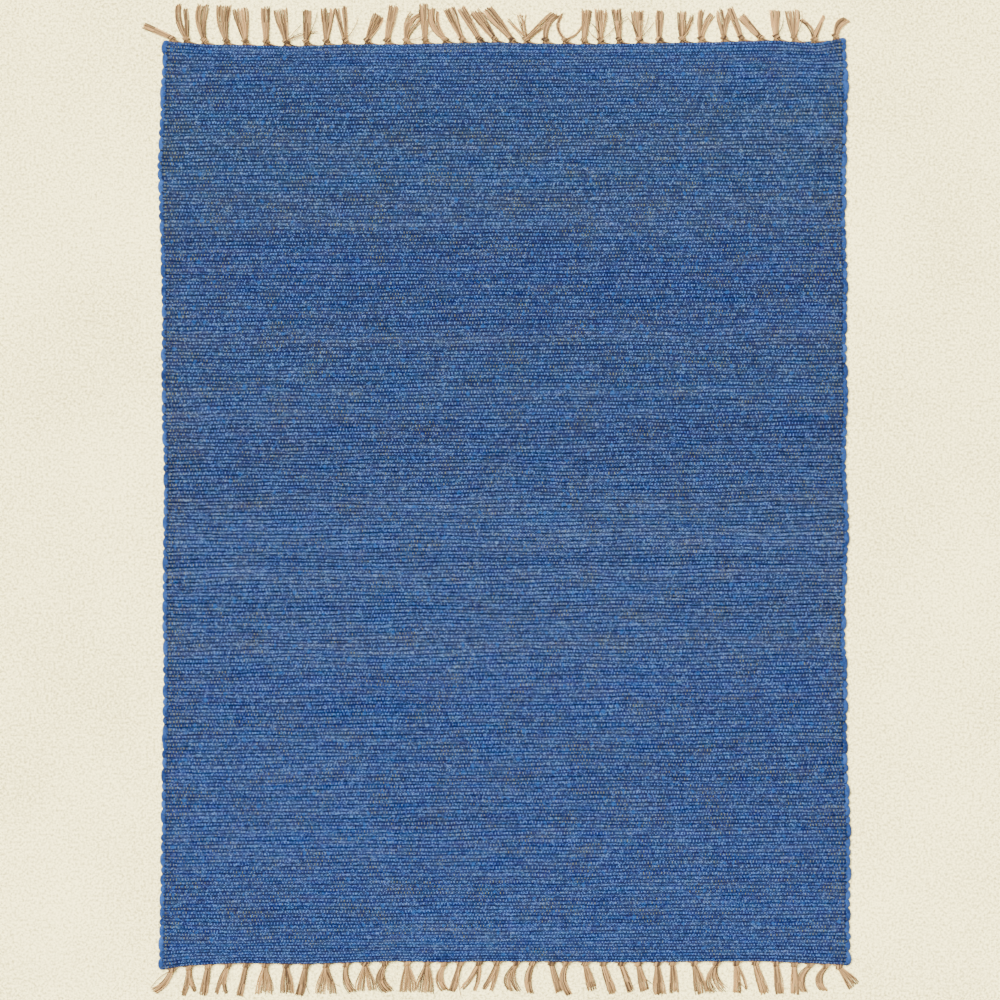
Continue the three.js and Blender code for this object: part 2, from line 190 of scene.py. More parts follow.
# Where the dye took better or worse, in the same way: how much more of its colour the wool has.
CLEARS = (
    (225.3, 3, -0.15), (232, 4, -0.08, 0.7), (209.7, 2.6, -0.15), (204, 2.6, -0.09),
    (187, 10, 0.05, 0.05, 0.9), (171.5, 2.2, -0.12), (163, 3, 0.04, 0.2, 0.7), (156.7, 2.2, -0.06, 0.4, 0.7),
    (149, 9, -0.07, -0.1, 0.28), (127.1, 2.2, -0.13), (117.3, 3.2, -0.09, 0.38), (107.4, 2, -0.09),
    (98, 2.6, -0.07, 0.4), (98, 6, 0.05, 0.2, 0.42), (88.8, 2.3, -0.17), (66, 22, 0.04), (20, 26, 0.055),
    (70.7, 3.2, 0.09, 0.18, 0.45), (37.8, 4, 0.05, 0.14, 0.42), (150, 60, -0.07, -0.1, 0.08),
    (105, 20, -0.08, 0.9),
)

# Where the blue leans to green, or to violet with a minus, in the same way.
GREENS = (
    (222, 18, 0.045), (234, 5, 0.035, 0.75), (228, 7, 0.03, -0.1, 0.15), (191.5, 5, -0.03, -0.1, 1.1, -3),
    (177.6, 3, -0.02, 0.3), (162.5, 9, 0.02), (147, 4, -0.015), (123.8, 2.6, 0.035, 0.45),
    (76, 6, -0.03), (35, 38, -0.02),
)

# The tassels from left to right: the knot's place, its tip's place from the knot sideways and outwards,
# the width of its fan, how far its middle bows to the right, and how far its halves part (0 or 1 or between).
FAR_TASSELS = table(
    (-675, -57, 23, 12), (-645, -16, 64, 12, -7), (-608, -2, 66, 25, -6), (-563, -4, 66, 29, -4),
    (-524, -10, 61, 31), (-481, -2, 64, 18), (-440, -12, 61, 27), (-399, 2, 59, 16), (-358, 4, 61, 29),
    (-319, -10, 61, 25, 0, 0.3), (-274, 25, 47, 23), (-233, 14, 64, 18), (-194, 24, 47, 32, -6),
    (-155, -4, 66, 18), (-114, -27, 57, 14, -12), (-79, -27, 57, 23), (-44, -37, 57, 16), (-13, -41, 51, 20),
    (22, -51, 55, 23), (52, 56, 46, 16), (91, 24, 47, 15, -9), (132, -6, 49, 4, -13), (171, 6, 57, 20),
    (204, 2, 57, 25), (243, -6, 57, 18), (284, -4, 53, 25), (325, 2, 53, 14), (372, 0, 51, 18),
    (411, 2, 53, 11, -3), (458, -9, 53, 13), (493, -23, 55, 12), (532, -39, 39, 16), (565, -2, 49, 20),
    (602, -4, 51, 29), (643, 20, 44, 6), (686, 25, 31, 16, -8),
)
NEAR_TASSELS = table(
    (-674, -37, 41, 14, 6), (-639, -12, 54, 9, 3), (-600, -10, 55, 16), (-559, -24, 54, 7, -3),
    (-522, -14, 59, 13), (-483, -2, 55, 37), (-440, 2, 53, 27), (-399, -14, 57, 16),
    (-358, 0, 55, 41, 0, 0.2), (-317, 14, 53, 15, -8), (-278, 2, 51, 41, 0, 0.2), (-237, 6, 55, 25, -14),
    (-192, 2, 55, 33), (-151, -6, 55, 37), (-116, 2, 51, 16, -12), (-83, -16, 53, 14), (-44, -35, 49, 8, 2),
    (-7, -28, 50, 8, 2), (32, -4, 53, 27, -12), (65, -4, 57, 14, -8), (104, 16, 55, 13),
    (134, 6, 61, 13, -10), (173, 16, 51, 18),
    (210, 20, 57, 16), (247, 20, 53, 14), (282, 14, 51, 18), (321, 6, 59, 25), (352, 4, 55, 18),
    (397, 16, 57, 25), (442, 4, 55, 33, -12, 0.2), (483, 2, 57, 16), (522, 20, 59, 18), (565, 8, 57, 16),
    (602, 2, 57, 16), (634, -12, 51, 16, -12), (667, -4, 47, 16, -14), (694, 31, 37, 25),
)
FAR_TASSELS[:, 2] *= FAR_LONGER
NEAR_TASSELS[:, 2] *= NEAR_LONGER

# Locks that part from a tassel's sheaf: its number, the lock's tip sideways and outwards from the knot, its
# fan, its bow, and how many strands it takes.
FAR_LOCKS = table(
    (2, -2, 62, 8, 2, 7), (13, 29, 53, 8, -14, 7), (15, -15, 58, 5, -6, 5), (20, -37, 42, 7, 0, 3),
    (20, -15, 52, 9, 3, 3), (20, -2, 49, 10, -3, 2), (22, 37, 31, 1, 6, 7), (28, 21, 49, 6, 2, 5),
    (29, 24, 50, 12, -3, 9), (30, 14, 55, 11, -3, 9), (35, -26, 41, 8, 6, 8),
)
NEAR_LOCKS = table(
    (2, 12, 48, 8, -3, 9), (4, -4, 57, 6, -7, 9), (17, -9, 55, 7, 3, 9), (18, -12, 56, 7, 2, 9),
    (31, 22, 53, 5, 3, 6),
)

# Loose strands that stray from a tassel: its number, the strand's tip across and along, and how far it bows.
FAR_STRAYS = table(
    (7, -376, 960, -5), (7, -374, 963, -7), (7, -381, 961, -3), (7, -409, 978), (8, -376, 1004, 3),
    (10, -292, 992, 4), (13, -130, 976, 8), (20, 40, 1002, 3), (20, 34, 998, -2), (20, 52, 1000, -3),
    (25, 259, 994, -12), (25, 262, 990, -10), (26, 259, 996, 2), (26, 304, 999, 3), (26, 315, 983, 2),
    (28, 397, 992, 4), (34, 618, 1006, 6), (24, 181, 967, -4), (24, 179, 985, 6), (24, 236, 975, 3),
    (33, 580, 990, 4),
)
NEAR_STRAYS = table(
    (8, -392, -1011, 5), (9, -329, -996, 8), (16, -81, -1017, 4), (26, 317, -994, 6), (30, 466, -998, 8),
    (31, 505, -1004, 6), (4, -571, -1008, -3), (12, -257, -1000, -6), (1, -718, -1000, 5),
)

# The two fringes: which way is out, how far the knots lie from the cloth, between which places beside its
# knot a tassel's warps leave the cloth, how the knots slant, and the tables above.
FAR_END = {
    "out": 1, "knot_off": 8.0, "roots": (-7.0, 27.0), "slant": -0.4,
    "edge": FAR_EDGE, "tassels": FAR_TASSELS, "locks": FAR_LOCKS, "strays": FAR_STRAYS,
}
NEAR_END = {
    "out": -1, "knot_off": 4.0, "roots": (-17.0, 20.0), "slant": 0.1,
    "edge": NEAR_EDGE, "tassels": NEAR_TASSELS, "locks": NEAR_LOCKS, "strays": NEAR_STRAYS,
}


def linear(hex_colour):
    """Turns an sRGB hex colour into linear red, green and blue with an alpha of one."""
    srgb = np.array([int(hex_colour[i:i + 2], 16) for i in (0, 2, 4)]) / 255
    values = np.where(srgb <= 0.04045, srgb / 12.92, ((srgb + 0.055) / 1.055) ** 2.4)
    return (*values.tolist(), 1.0)


def uneven(number):
    """A fixed number from 0 to 1 that looks random: the fraction of a very fast sine of the number."""
    wave = np.sin(np.asarray(number, dtype=float) * 12.9898 + 4.1414) * 43758.5453
    return wave - np.floor(wave)


def joined(*parts):
    """Arrays that fit each other, joined along a new last axis."""
    return np.stack(np.broadcast_arrays(*parts), axis=-1)


def patches(u, v, cell_u, cell_v, seed):
    """Soft patches from 0 to 1: seeded random values at the corners of cells, with 3t² - 2t³ between."""
    u, v = np.broadcast_arrays(u / cell_u + 3.0, v / cell_v + 3.0)
    size = (int(v.max()) + 3, int(u.max()) + 3)
    values = np.random.default_rng(SEED + seed).random(size)
    iu, iv = np.floor(u).astype(int), np.floor(v).astype(int)
    tu, tv = u - iu, v - iv
    tu, tv = tu * tu * (3 - 2 * tu), tv * tv * (3 - 2 * tv)
    low = values[iv, iu] * (1 - tu) + values[iv, iu + 1] * tu
    high = values[iv + 1, iu] * (1 - tu) + values[iv + 1, iu + 1] * tu
    return low * (1 - tv) + high * tv


def edge_at(edge, place):
    """Where an edge lies at a place."""
    return np.interp(place, edge[:, 0], edge[:, 1])


def row_y(x, along):
    """Where a row runs: straight between the ends' own lines, plus each end's waviness, which fades out over
    the first rows, plus a slow sine that is nil at both ends."""
    near_line = edge_at(NEAR_EDGE[[0, -1]], x)
    far_line = edge_at(FAR_EDGE[[0, -1]], x)
    straight = near_line + (far_line - near_line) * along
    at_near = (edge_at(NEAR_EDGE, x) - near_line) * np.maximum(0, 1 - along * ROWS / END_ROWS)
    at_far = (edge_at(FAR_EDGE, x) - far_line) * np.maximum(0, 1 - (1 - along) * ROWS / END_ROWS)
    wander = ROW_WANDER * 4 * along * (1 - along)
    return straight + at_near + at_far + wander * np.sin(2 * np.pi * (x + 3 * straight) / WANDER_WAVE)


def side_x(is_right, along, inset):
    """The place of a long edge at a share of the way along, drawn in by an inset."""
    y = NEAR_EDGE[0, 1] + (FAR_EDGE[0, 1] - NEAR_EDGE[0, 1]) * along
    return edge_at(RIGHT_EDGE, y) - inset if is_right else edge_at(LEFT_EDGE, y) + inset


def cad_shift():
    """How far the drawing's frame lies from the CAD model's: the difference of the woven field's corner."""
    low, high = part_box("woven_field")
    row = np.arange(0, ROWS + 0.25, 0.5)
    starts = np.concatenate([[0], np.cumsum(LOOPS[:, 0])])
    left = row % starts[-1]
    loop = np.clip(np.searchsorted(starts, left, side="left") - 1, 0, len(LOOPS) - 1)
    reach = LOOPS[loop, 1] * np.sin(np.pi * (left - starts[loop]) / LOOPS[loop, 0])
    leftmost = (side_x(False, row / ROWS, 0) - LEFT_REACH * reach).min()
    return np.array([low[0] - leftmost * MM, high[1] - FAR_EDGE[:, 1].max() * MM, 0.0])


SHIFT = cad_shift()


def put_mesh(name, points, faces, smooth, uv, shade=None):
    """Makes an object from points in millimetres and lists of equally long faces, with its place in its mesh.
    smooth tells for each list of faces if it is smooth; uv is a pair of numbers for each point, and shade one
    or three: lighter, clearer and greener."""
    mesh = bpy.data.meshes.new(name)
    lists = [np.asarray(group, dtype=np.int32) for group in faces]
    used, loops = np.unique(np.concatenate([group.ravel() for group in lists]), return_inverse=True)
    sizes = np.concatenate([np.full(len(group), group.shape[1]) for group in lists])
    starts = np.concatenate([[0], np.cumsum(sizes)[:-1]])
    is_smooth = np.concatenate([np.full(len(group), flag) for group, flag in zip(lists, smooth)])
    mesh.vertices.add(len(used))
    mesh.vertices.foreach_set("co", (points[used] * MM + SHIFT).astype(np.float32).ravel())
    mesh.loops.add(len(loops))
    mesh.loops.foreach_set("vertex_index", loops.astype(np.int32))
    mesh.polygons.add(len(sizes))
    mesh.polygons.foreach_set("loop_start", starts.astype(np.int32))
    mesh.update(calc_edges=True)
    mesh.polygons.foreach_set("use_smooth", is_smooth)
    layer = mesh.uv_layers.new(name="weave")
    layer.data.foreach_set("uv", uv[used[loops]].astype(np.float32).ravel())
    if shade is not None:
        values = np.broadcast_to(shade, (len(shade), 3))[used].astype(np.float32)
        mesh.attributes.new("shade", "FLOAT_VECTOR", "POINT").data.foreach_set("vector", values.ravel())
    mesh.validate()
    thing = bpy.data.objects.new(name, mesh)
    bpy.context.collection.objects.link(thing)
    return thing


def grid_faces(rows, columns, wrap=False):
    """Quads between neighbouring lines of a grid of points numbered line by line, facing up where columns run
    to the right and lines away. wrap joins the last column to the first."""
    line = np.arange(rows - 1)[:, None] * columns
    column = np.arange(columns if wrap else columns - 1)
    after = (column + 1) % columns
    quads = joined(line + column, line + after, line + columns + after, line + columns + column)
    return quads.reshape(-1, 4)


def tubes(flat, z, wide, high, sides):
    """Closed tubes along many paths at once: round each path's points stand ellipses, wide across and high
    upwards, square to the path. The ends are closed with flat faces.
    flat is tubes x stations x 2; z, wide and high are tubes x stations or fit that. Gives points, faces and
    the uv of each point: turns round the tube, and millimetres along it."""
    count, stations, _ = flat.shape
    z, wide, high = (np.broadcast_to(size, (count, stations))[..., None] for size in (z, wide, high))
    paths = np.concatenate([flat, z], axis=-1)
    way = np.gradient(paths, axis=1)
    way /= np.linalg.norm(way, axis=2, keepdims=True) + 1e-9
    across = np.cross(way, [0.0, 0.0, 1.0])
    across /= np.linalg.norm(across, axis=2, keepdims=True) + 1e-9
    up = np.cross(across, way)
    turn = 2 * np.pi * np.arange(sides) / sides
    ring = (across[:, :, None] * (np.cos(turn)[:, None] * wide[:, :, None])
            + up[:, :, None] * (np.sin(turn)[:, None] * high[:, :, None]))
    points = (paths[:, :, None] + ring).reshape(-1, 3)
    first = np.arange(count)[:, None] * stations * sides
    skin = (first[:, None] + grid_faces(stations, sides, wrap=True)).reshape(-1, 4)
    start = first + np.arange(sides)[::-1]
    finish = first + (stations - 1) * sides + np.arange(sides)
    steps = np.linalg.norm(np.diff(paths, axis=1), axis=2)
    length = np.concatenate([np.zeros((count, 1)), np.cumsum(steps, axis=1)], axis=1)
    length = length + YARN_STEP * np.arange(count)[:, None]
    uv = joined(turn / (2 * np.pi), length[:, :, None])
    return points, [skin, start, finish], uv.reshape(-1, 2)


def dress(thing, material, node):
    """Gives a piece its material and says that it rides on the rug and stands for the named solid."""
    thing.data.materials.append(material)
    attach(thing, "root")
    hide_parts(node)


# Materials

def add_node(tree, kind, *inputs, sockets=None, **settings):
    """Adds a node, sets its properties, and sets or joins its open inputs in order and its named ones. A kind
    in capitals is a calculation, and a mix is one of colours."""
    if kind.isupper():
        kind, settings["operation"] = "Math", kind
    if kind == "Mix":
        settings["data_type"] = "RGBA"
    node = tree.nodes.new("ShaderNode" + kind)
    for name, value in settings.items():
        setattr(node, name, value)
    pairs = list(zip([socket for socket in node.inputs if socket.enabled], inputs))
    pairs += [(node.inputs[name], value) for name, value in (sockets or {}).items()]
    for socket, value in pairs:
        if isinstance(value, bpy.types.Node):
            value = next(output for output in value.outputs if output.enabled)
        if isinstance(value, bpy.types.NodeSocket):
            tree.links.new(value, socket)
        else:
            socket.default_value = value
    return node


def new_material(name):
    """An empty node material, the function that adds nodes to it, and one that sums numbers times shares."""
    material = bpy.data.materials.new(name)
    material.use_nodes = True
    tree = material.node_tree
    tree.nodes.clear()

    add = partial(add_node, tree)

    def blend(*shares):
        """Sums numbers, each times its share."""
        total = add("MULTIPLY", *shares[0])
        for value, share in shares[1:]:
            total = add("MULTIPLY_ADD", value, share, total)
        return total

    return material, add, blend


def woven_place(add):
    """The place on the weave, across and along, and the function that makes noise from it."""
    u, v = add("SeparateXYZ", add("UVMap", uv_map="weave")).outputs[:2]

    def noise(across, along, z=0.0, detail=2.0, rough=0.5):
        """Soft noise with so many patches for each step across and along; another z gives other patches."""
        place = add("CombineXYZ", add("MULTIPLY", u, across), add("MULTIPLY", v, along), z)
        return add("TexNoise", place, sockets={"Scale": 1.0, "Detail": detail, "Roughness": rough})

    return u, v, noise


def yarn_noise(add, across, along):
    """Streaks along a yarn's fibres, and a random number for each yarn."""
    _, v, noise = woven_place(add)
    number = add("FLOOR", add("MULTIPLY", v, 1 / YARN_STEP))
    chance = add("TexWhiteNoise", sockets={"W": number}, noise_dimensions="1D")
    return noise(across, along, 0.0, 3.0, 0.6), chance


def finish_surface(add, colour, height, strength, depth, qualities):
    """Puts a colour and a relief, with its strength and depth, on a surface with the named qualities."""
    bump = add("Bump", strength, depth, sockets={"Height": height})
    add("OutputMaterial", add("BsdfPrincipled", sockets={"Base Color": colour, "Normal": bump, **qualities}))


def woven_wool(look):
    """Thick single-ply wool, hand-dyed blue and heathered, woven over natural jute: matte and slightly fuzzy.
    Each row shows as a rib with a groove beside it, darkened with painted shade. Where the weft dips, a
    warp lies over it as a small pale stitch, at every second warp and half a step on in the next row."""
    material, add, blend = new_material("woven_blue_wool")
    u, v, noise = woven_place(add)

    # the warps wander a little from their places
    row = add("FLOOR", v)
    wander = add("SUBTRACT", noise(0.33, 0.6, 67.0, 0.0), 0.5)
    warp_place = add("MULTIPLY_ADD", wander, 0.5, u)
    # stitch: cosine across the warps times sine along the rows, lowest where a warp lies over the weft
    cell = add("MULTIPLY", add("ADD", warp_place, row), 0.5)
    cos_u = add("COSINE", add("MULTIPLY", warp_place, np.pi))
    sin_v = add("SINE", add("MULTIPLY", v, np.pi))
    cos_v = add("COSINE", add("MULTIPLY", v, np.pi))
    weave = add("MULTIPLY", cos_u, sin_v)
    stitch = add("MapRange", weave, -0.33, -0.74, interpolation_type="SMOOTHSTEP")
    # groove: the sine of the row, shifted up and down by the beads on both sides
    shifted = add("MULTIPLY_ADD", add("MULTIPLY", cos_u, cos_v), ZIGZAG, v)
    rib = add("ABSOLUTE", add("SINE", add("MULTIPLY", shifted, np.pi)))

    # random numbers for each stitch, each bead of wool, each row and each groove
    chance = add("TexWhiteNoise", add("CombineXYZ", add("FLOOR", cell), row))
    bead_number = add("FLOOR", add("ADD", cell, 0.5))
    bead = add("TexWhiteNoise", add("CombineXYZ", bead_number, row, 5.0))
    row_chance = add("TexWhiteNoise", sockets={"W": row}, noise_dimensions="1D")
    groove_number = add("ADD", add("FLOOR", add("ADD", v, 0.5)), 0.37)
    groove_chance = add("TexWhiteNoise", sockets={"W": groove_number}, noise_dimensions="1D")

    # heather: flecks of lighter and darker fibres, about 2 mm across, a few of them much lighter or darker
    fleck = add("CombineXYZ", add("MULTIPLY", u, 0.75), add("MULTIPLY", v, 2.2))
    fleck = add("TexVoronoi", fleck, sockets={"Scale": 1.8}, voronoi_dimensions="2D").outputs["Color"]
    fleck = add("SeparateColor", fleck)
    signed = add("MULTIPLY_ADD", fleck, 2.0, -1.0)
    heather = add("MULTIPLY", add("POWER", signed, 4.0), signed)
    streak = noise(0.045, 0.9, 7.0)
    patch = noise(0.07, 0.55, 13.0)
    tan_patch = noise(0.045, 0.16, 23.0, 2.5)
    slub_place = noise(0.3, 0.55, 31.0, 0.0)
    dye_band = noise(0.0012, 0.035, 43.0)
    groove_patch = noise(0.22, 0.55, 53.0)
    cast = noise(0.09, 0.4, 83.0, 3.0)
    long_streak = noise(0.008, 0.16, 97.0)
    clearness = noise(0.03, 0.55, 101.0)
    shade = add("SeparateXYZ", add("Attribute", attribute_name="shade").outputs["Vector"])

    # the wool: from dark to light by heather, beads, streaks, rows and the skeins' own shades
    tone = blend((heather, 1.8), (bead, 0.22), (streak, 0.52), (row_chance, 0.2), (dye_band, 0.2),
                 (long_streak, 0.24), (shade, 1.0), (shade.outputs[1], 0.2))
    wool = add("ValToRGB", add("MapRange", tone, 0.535, 1.6))
    ramp = wool.color_ramp
    ramp.elements[0].color = look.wool_dark
    ramp.elements[1].color = look.wool_light
    ramp.elements.new(0.5).color = look.wool_blue
    # some fibres took less dye
    pale = add("MULTIPLY", add("MapRange", fleck.outputs[1], 0.35, 1.0, 0.0, 0.4),
               add("MapRange", streak, 0.35, 0.65, 0.5, 1.0))
    wool = add("Mix", pale, wool, look.wool_grey)
    # the dye leans to green in places and to violet in others, and took better or worse
    turned = blend((cast, 0.75), (fleck, 0.25), (shade.outputs[2], 2.0))
    turned = add("MapRange", turned, 0.25, 0.75, 0.525, 0.481)
    clear = add("ADD", blend((clearness, 0.48), (shade.outputs[1], 0.6)), 0.7)
    wool = add("HueSaturation", sockets={"Hue": turned, "Saturation": clear, "Color": wool})
    slub = add("MapRange", slub_place, 0.72, 0.78)
    wool = add("Mix", add("MULTIPLY", slub, 0.8), wool, look.wool_slub)

    # the stitches: pale blue where the wool's fuzz covers them, tan where the jute shows
    shown = add("MapRange", blend((chance, 0.9), (patch, 0.6)), 0.4, 1.0, 0.3, 1.0)
    shown = add("MULTIPLY", shown, stitch)
    shown = add("MULTIPLY", shown, add("SUBTRACT", 1.0, slub))
    from_edge = add("MINIMUM", u, add("SUBTRACT", WARPS, u))
    near_edge = add("MapRange", from_edge, 2.0, 16.0, 0.25, 0.0)
    from_end = add("MINIMUM", v, add("SUBTRACT", ROWS, v))
    near_end = add("MapRange", from_end, 3.0, 14.0, 0.1, 0.0)
    hue = add("ADD", blend((tan_patch, 1.4), (chance.outputs[1], 0.4), (near_end, -1.0)), near_edge)
    hue = add("MapRange", hue, 0.75, 1.17)
    warp = add("Mix", hue, look.fuzz, look.jute_shows)
    colour = add("Mix", shown, wool, warp)

    # the first warps beside each selvage, bare in places: tan stitches, row over row, in a channel of painted
    # shade
    # the rim, where the rows turn down round the selvage, gets painted shade
    rim = add("MapRange", from_edge, 0.5, -0.5, 0.0, 0.35)
    beside = add("ABSOLUTE", add("SUBTRACT", from_edge, 0.9))
    bare_place = add("MapRange", noise(0.5, 0.12, 71.0), 0.42, 0.58, 0.35, 1.0)
    channel_shade = add("MULTIPLY", add("MapRange", beside, 1.8, 0.8, 0.0, 0.18), bare_place)
    bare = add("MULTIPLY", add("MapRange", beside, 0.65, 0.3),
               add("MapRange", add("ABSOLUTE", sin_v), 0.55, 0.85))
    bare = add("MULTIPLY", bare, add("MapRange", row_chance, 0.1, 0.9, 0.0, 0.85))
    bare = add("MULTIPLY", bare, bare_place)
    # painted shade on the rim and in the channel, then the bare jute
    for share, over in ((rim, look.groove_shade), (channel_shade, look.groove_shade), (bare, look.jute_shows)):
        colour = add("Mix", share, colour, over)

    # painted shade in the grooves, each a little deeper or shallower, wider in places and broken here and
    # there
    reach = blend((groove_patch, 1.1), (groove_chance, 0.12), (fleck.outputs[2], 0.25))
    groove_shade = add("MapRange", add("SUBTRACT", rib, reach), -0.11, -0.6)
    groove_shade = add("MULTIPLY", groove_shade, add("MapRange", from_end, 0.15, 0.5, 0.1, 1.0))
    # the grooves' painted shade darker or lighter from place to place, and darkest over the middle of the rug
    depth = add("MapRange", fleck.outputs[1], 0.0, 1.0, 0.65, 1.4)
    groove_shade = add("MULTIPLY", groove_shade, depth, use_clamp=True)
    from_middle = add("ABSOLUTE", add("SUBTRACT", v, DARKEST_SHADE_ROW))
    groove_shade = add("MULTIPLY", groove_shade, add("MapRange", from_middle, 20.0, 40.0, 1.0, 0.85))
    colour = add("Mix", groove_shade, colour, look.groove_shade)

    # fine relief: the fibres run along the yarn, about 0.6 mm apart; the stitches stand a little proud
    relief = add("MULTIPLY_ADD", stitch, 0.5, noise(2.2, 12.0, 61.0, 3.0, 0.6))
    finish_surface(add, colour, relief, 0.6, 0.0007, {
        "Roughness": 0.95, "Specular IOR Level": 0.05, "Sheen Weight": 0.1, "Sheen Roughness": 0.6,
        "Sheen Tint": linear("6E9BFF"),
    })
    return material


def loop_wool(look):
    """The same wool at the selvage, where it turns back in smooth loops with no stitches over it: a clearer
    blue, with fibres along the yarn."""
    material, add, blend = new_material("turned_blue_wool")
    fibre, loop = yarn_noise(add, 7.0, 0.2)
    cloud = add("TexNoise", add("TexCoord").outputs["Object"], sockets={"Scale": 55.0, "Detail": 2.0})
    tone = add("MapRange", blend((cloud, 0.5), (fibre, 0.6), (loop, 0.24)), 0.46, 0.9)
    wool = add("Mix", tone, look.loop_dark, look.loop_light)
    finish_surface(add, wool, fibre, 0.5, 0.0006, {
        "Roughness": 0.95, "Specular IOR Level": 0.15, "Sheen Weight": 0.12, "Sheen Roughness": 0.6,
    })
    return material


def jute_yarn(name, light, dark):
    """Natural jute, spun and undyed: matte tan yarn, streaked along its fibres, a little different from
    strand to strand, and browner in the knots."""
    material, add, blend = new_material(name)
    fibre, strand = yarn_noise(add, 3.0, 0.35)
    shade = add("SeparateXYZ", add("Attribute", attribute_name="shade").outputs["Vector"])
    tone = add("ADD", blend((fibre, 0.6), (strand, 0.95)), shade)
    colour = add("Mix", add("MapRange", tone, 0.33, 1.2), dark, light)
    finish_surface(add, colour, fibre, 0.5, 0.0003, {"Roughness": 0.88, "Specular IOR Level": 0.25})
    return material


def plaster_floor(look):
    """A pale, smooth cream plaster floor with fine specks, a few millimetres across."""
    material, add, blend = new_material("cream_plaster")
    where = add("TexCoord").outputs["Object"]
    speck = add("TexNoise", where, sockets={"Scale": 200.0, "Detail": 2.0, "Roughness": 0.7})
    cloud = add("TexNoise", where, sockets={"Scale": 3.0, "Detail": 3.0})
    tone = add("MapRange", blend((cloud, 0.15), (speck, 0.85)), 0.33, 0.58)
    colour = add("Mix", tone, look.floor_dark, look.floor_light)
    finish_surface(add, colour, speck, 0.15, 0.0004, {"Roughness": 0.9, "Specular IOR Level": 0.2})
    return material


# Shapes

def skein_sum(entries, share, row):
    """The sum of a table's entries at a share of the width: each is a bell curve exp(-d²) of the distance to
    its row, between soft ends."""
    total = 0
    for middle, half, amount, *span in entries:
        start, finish, climb = (*span, *WHOLE_WIDTH[len(span):])
        away = (row - middle - climb * (share - 0.5)) / half
        ends = np.clip((share - start) / 0.1, 0, 1) * np.clip((finish - share) / 0.1, 0, 1)
        total = total + amount * np.exp(-away ** 2) * ends
    return total


def row_band(name, first, last):
    """The upper side of some rows. The height is the row's top, less a dip that follows one minus the sine of
    the row, plus a bead that is the cosine across the warps times the sine along the rows, which is high and
    low by turns as in plain weave. The rows' own lines sway a little."""
    row = first + np.arange((last - first) * STEPS_A_ROW + 1)[:, None] / STEPS_A_ROW
    along = row / ROWS
    warp = np.arange(WARPS + 1.0)[None]
    from_end = np.minimum(row, ROWS - row)
    groove_shift = ZIGZAG * np.cos(np.pi * warp) * np.cos(np.pi * row)
    top = RIB_TOP - RIB_UNEVEN * uneven(np.floor(np.minimum(row, ROWS - 0.01)))
    rib = np.abs(np.sin(np.pi * (row + groove_shift)))
    height = top - RIB_DIP * (1 - rib ** 0.8) + BEAD * np.cos(np.pi * warp) * np.sin(np.pi * row)
    height = height + THICK_AND_THIN * (patches(warp, row, 9.0, 1.3, 3) - 0.5)
    height = height + ROUGH * (np.random.default_rng(SEED + first).random(height.shape) - 0.5)
    height = height * (0.45 + 0.55 * np.sqrt(1 - (1 - np.clip(from_end / END_ROUND, 0, 1)) ** 2))
    bend = sum(size * (patches(warp, row, wide, high, seed) - 0.5) for wide, high, size, seed in SWAYS)
    bend = bend * np.clip(from_end / END_ROWS, 0, 1)

    # the warps lie evenly between the selvages, and more columns go down round each selvage
    left, right = side_x(False, along, SELVAGE_IN), side_x(True, along, SELVAGE_IN)
    inner = left + (right - left) * (warp / WARPS)
    rims = len(ROUND_EDGE)
    inset, share = ROUND_EDGE.T
    x = np.hstack([side_x(False, along, inset), inner, side_x(True, along, inset[::-1])])
    y = row_y(x, along) + np.pad(bend, ((0, 0), (rims, rims)), mode="edge")
    z = np.hstack([height[:, :1] * share, height, height[:, -1:] * share[::-1]])
    points = joined(x, y, z).reshape(-1, 3)
    uv = joined(np.arange(-rims, WARPS + rims + 1), row).reshape(-1, 2)

    # the underside: every line again, lower down and with fewer columns, and both end lines in full
    lines, columns = x.shape
    upper = np.arange(x.size).reshape(lines, columns)
    kept = np.arange(0, columns, UNDER_SKIP)
    copied = np.concatenate([upper[:, kept].ravel(), upper[[0, -1]].ravel()])
    copies = points[copied]
    copies[:, 2] = np.minimum(copies[:, 2] - 0.2, UNDER_Z)
    lower = x.size + np.arange(lines * len(kept)).reshape(lines, len(kept))
    ends = x.size + lower.size + np.arange(2 * columns).reshape(2, columns)
    lower[0], lower[-1] = ends[0, kept], ends[1, kept]
    middle = lower[1:-1]
    floor_side = joined(middle[:-1, :-1], middle[1:, :-1], middle[1:, 1:], middle[:-1, 1:]).reshape(-1, 4)
    spans = kept[:-1, None] + np.arange(UNDER_SKIP + 1)
    near_strip = np.hstack([ends[0][spans][:, ::-1], middle[0, :-1, None], middle[0, 1:, None]])
    far_strip = np.hstack([ends[1][spans], middle[-1, 1:, None], middle[-1, :-1, None]])
    walls = [joined(above[:-1], below[:-1], below[1:], above[1:]) for above, below in (
        (upper[0], ends[0]), (upper[-1, ::-1], ends[1, ::-1]),
        (upper[::-1, 0], lower[::-1, 0]), (upper[:, -1], lower[:, -1]))]
    faces = [grid_faces(lines, columns), floor_side, near_strip, far_strip, *walls]

    points, uv = np.concatenate([points, copies]), np.concatenate([uv, uv[copied]])
    shade = joined(*(skein_sum(entries, uv[:, 0] / WARPS, uv[:, 1]) for entries in (SHADES, CLEARS, GREENS)))
    return put_mesh(name, points, faces, [True] + [False] * 7, uv, shade)


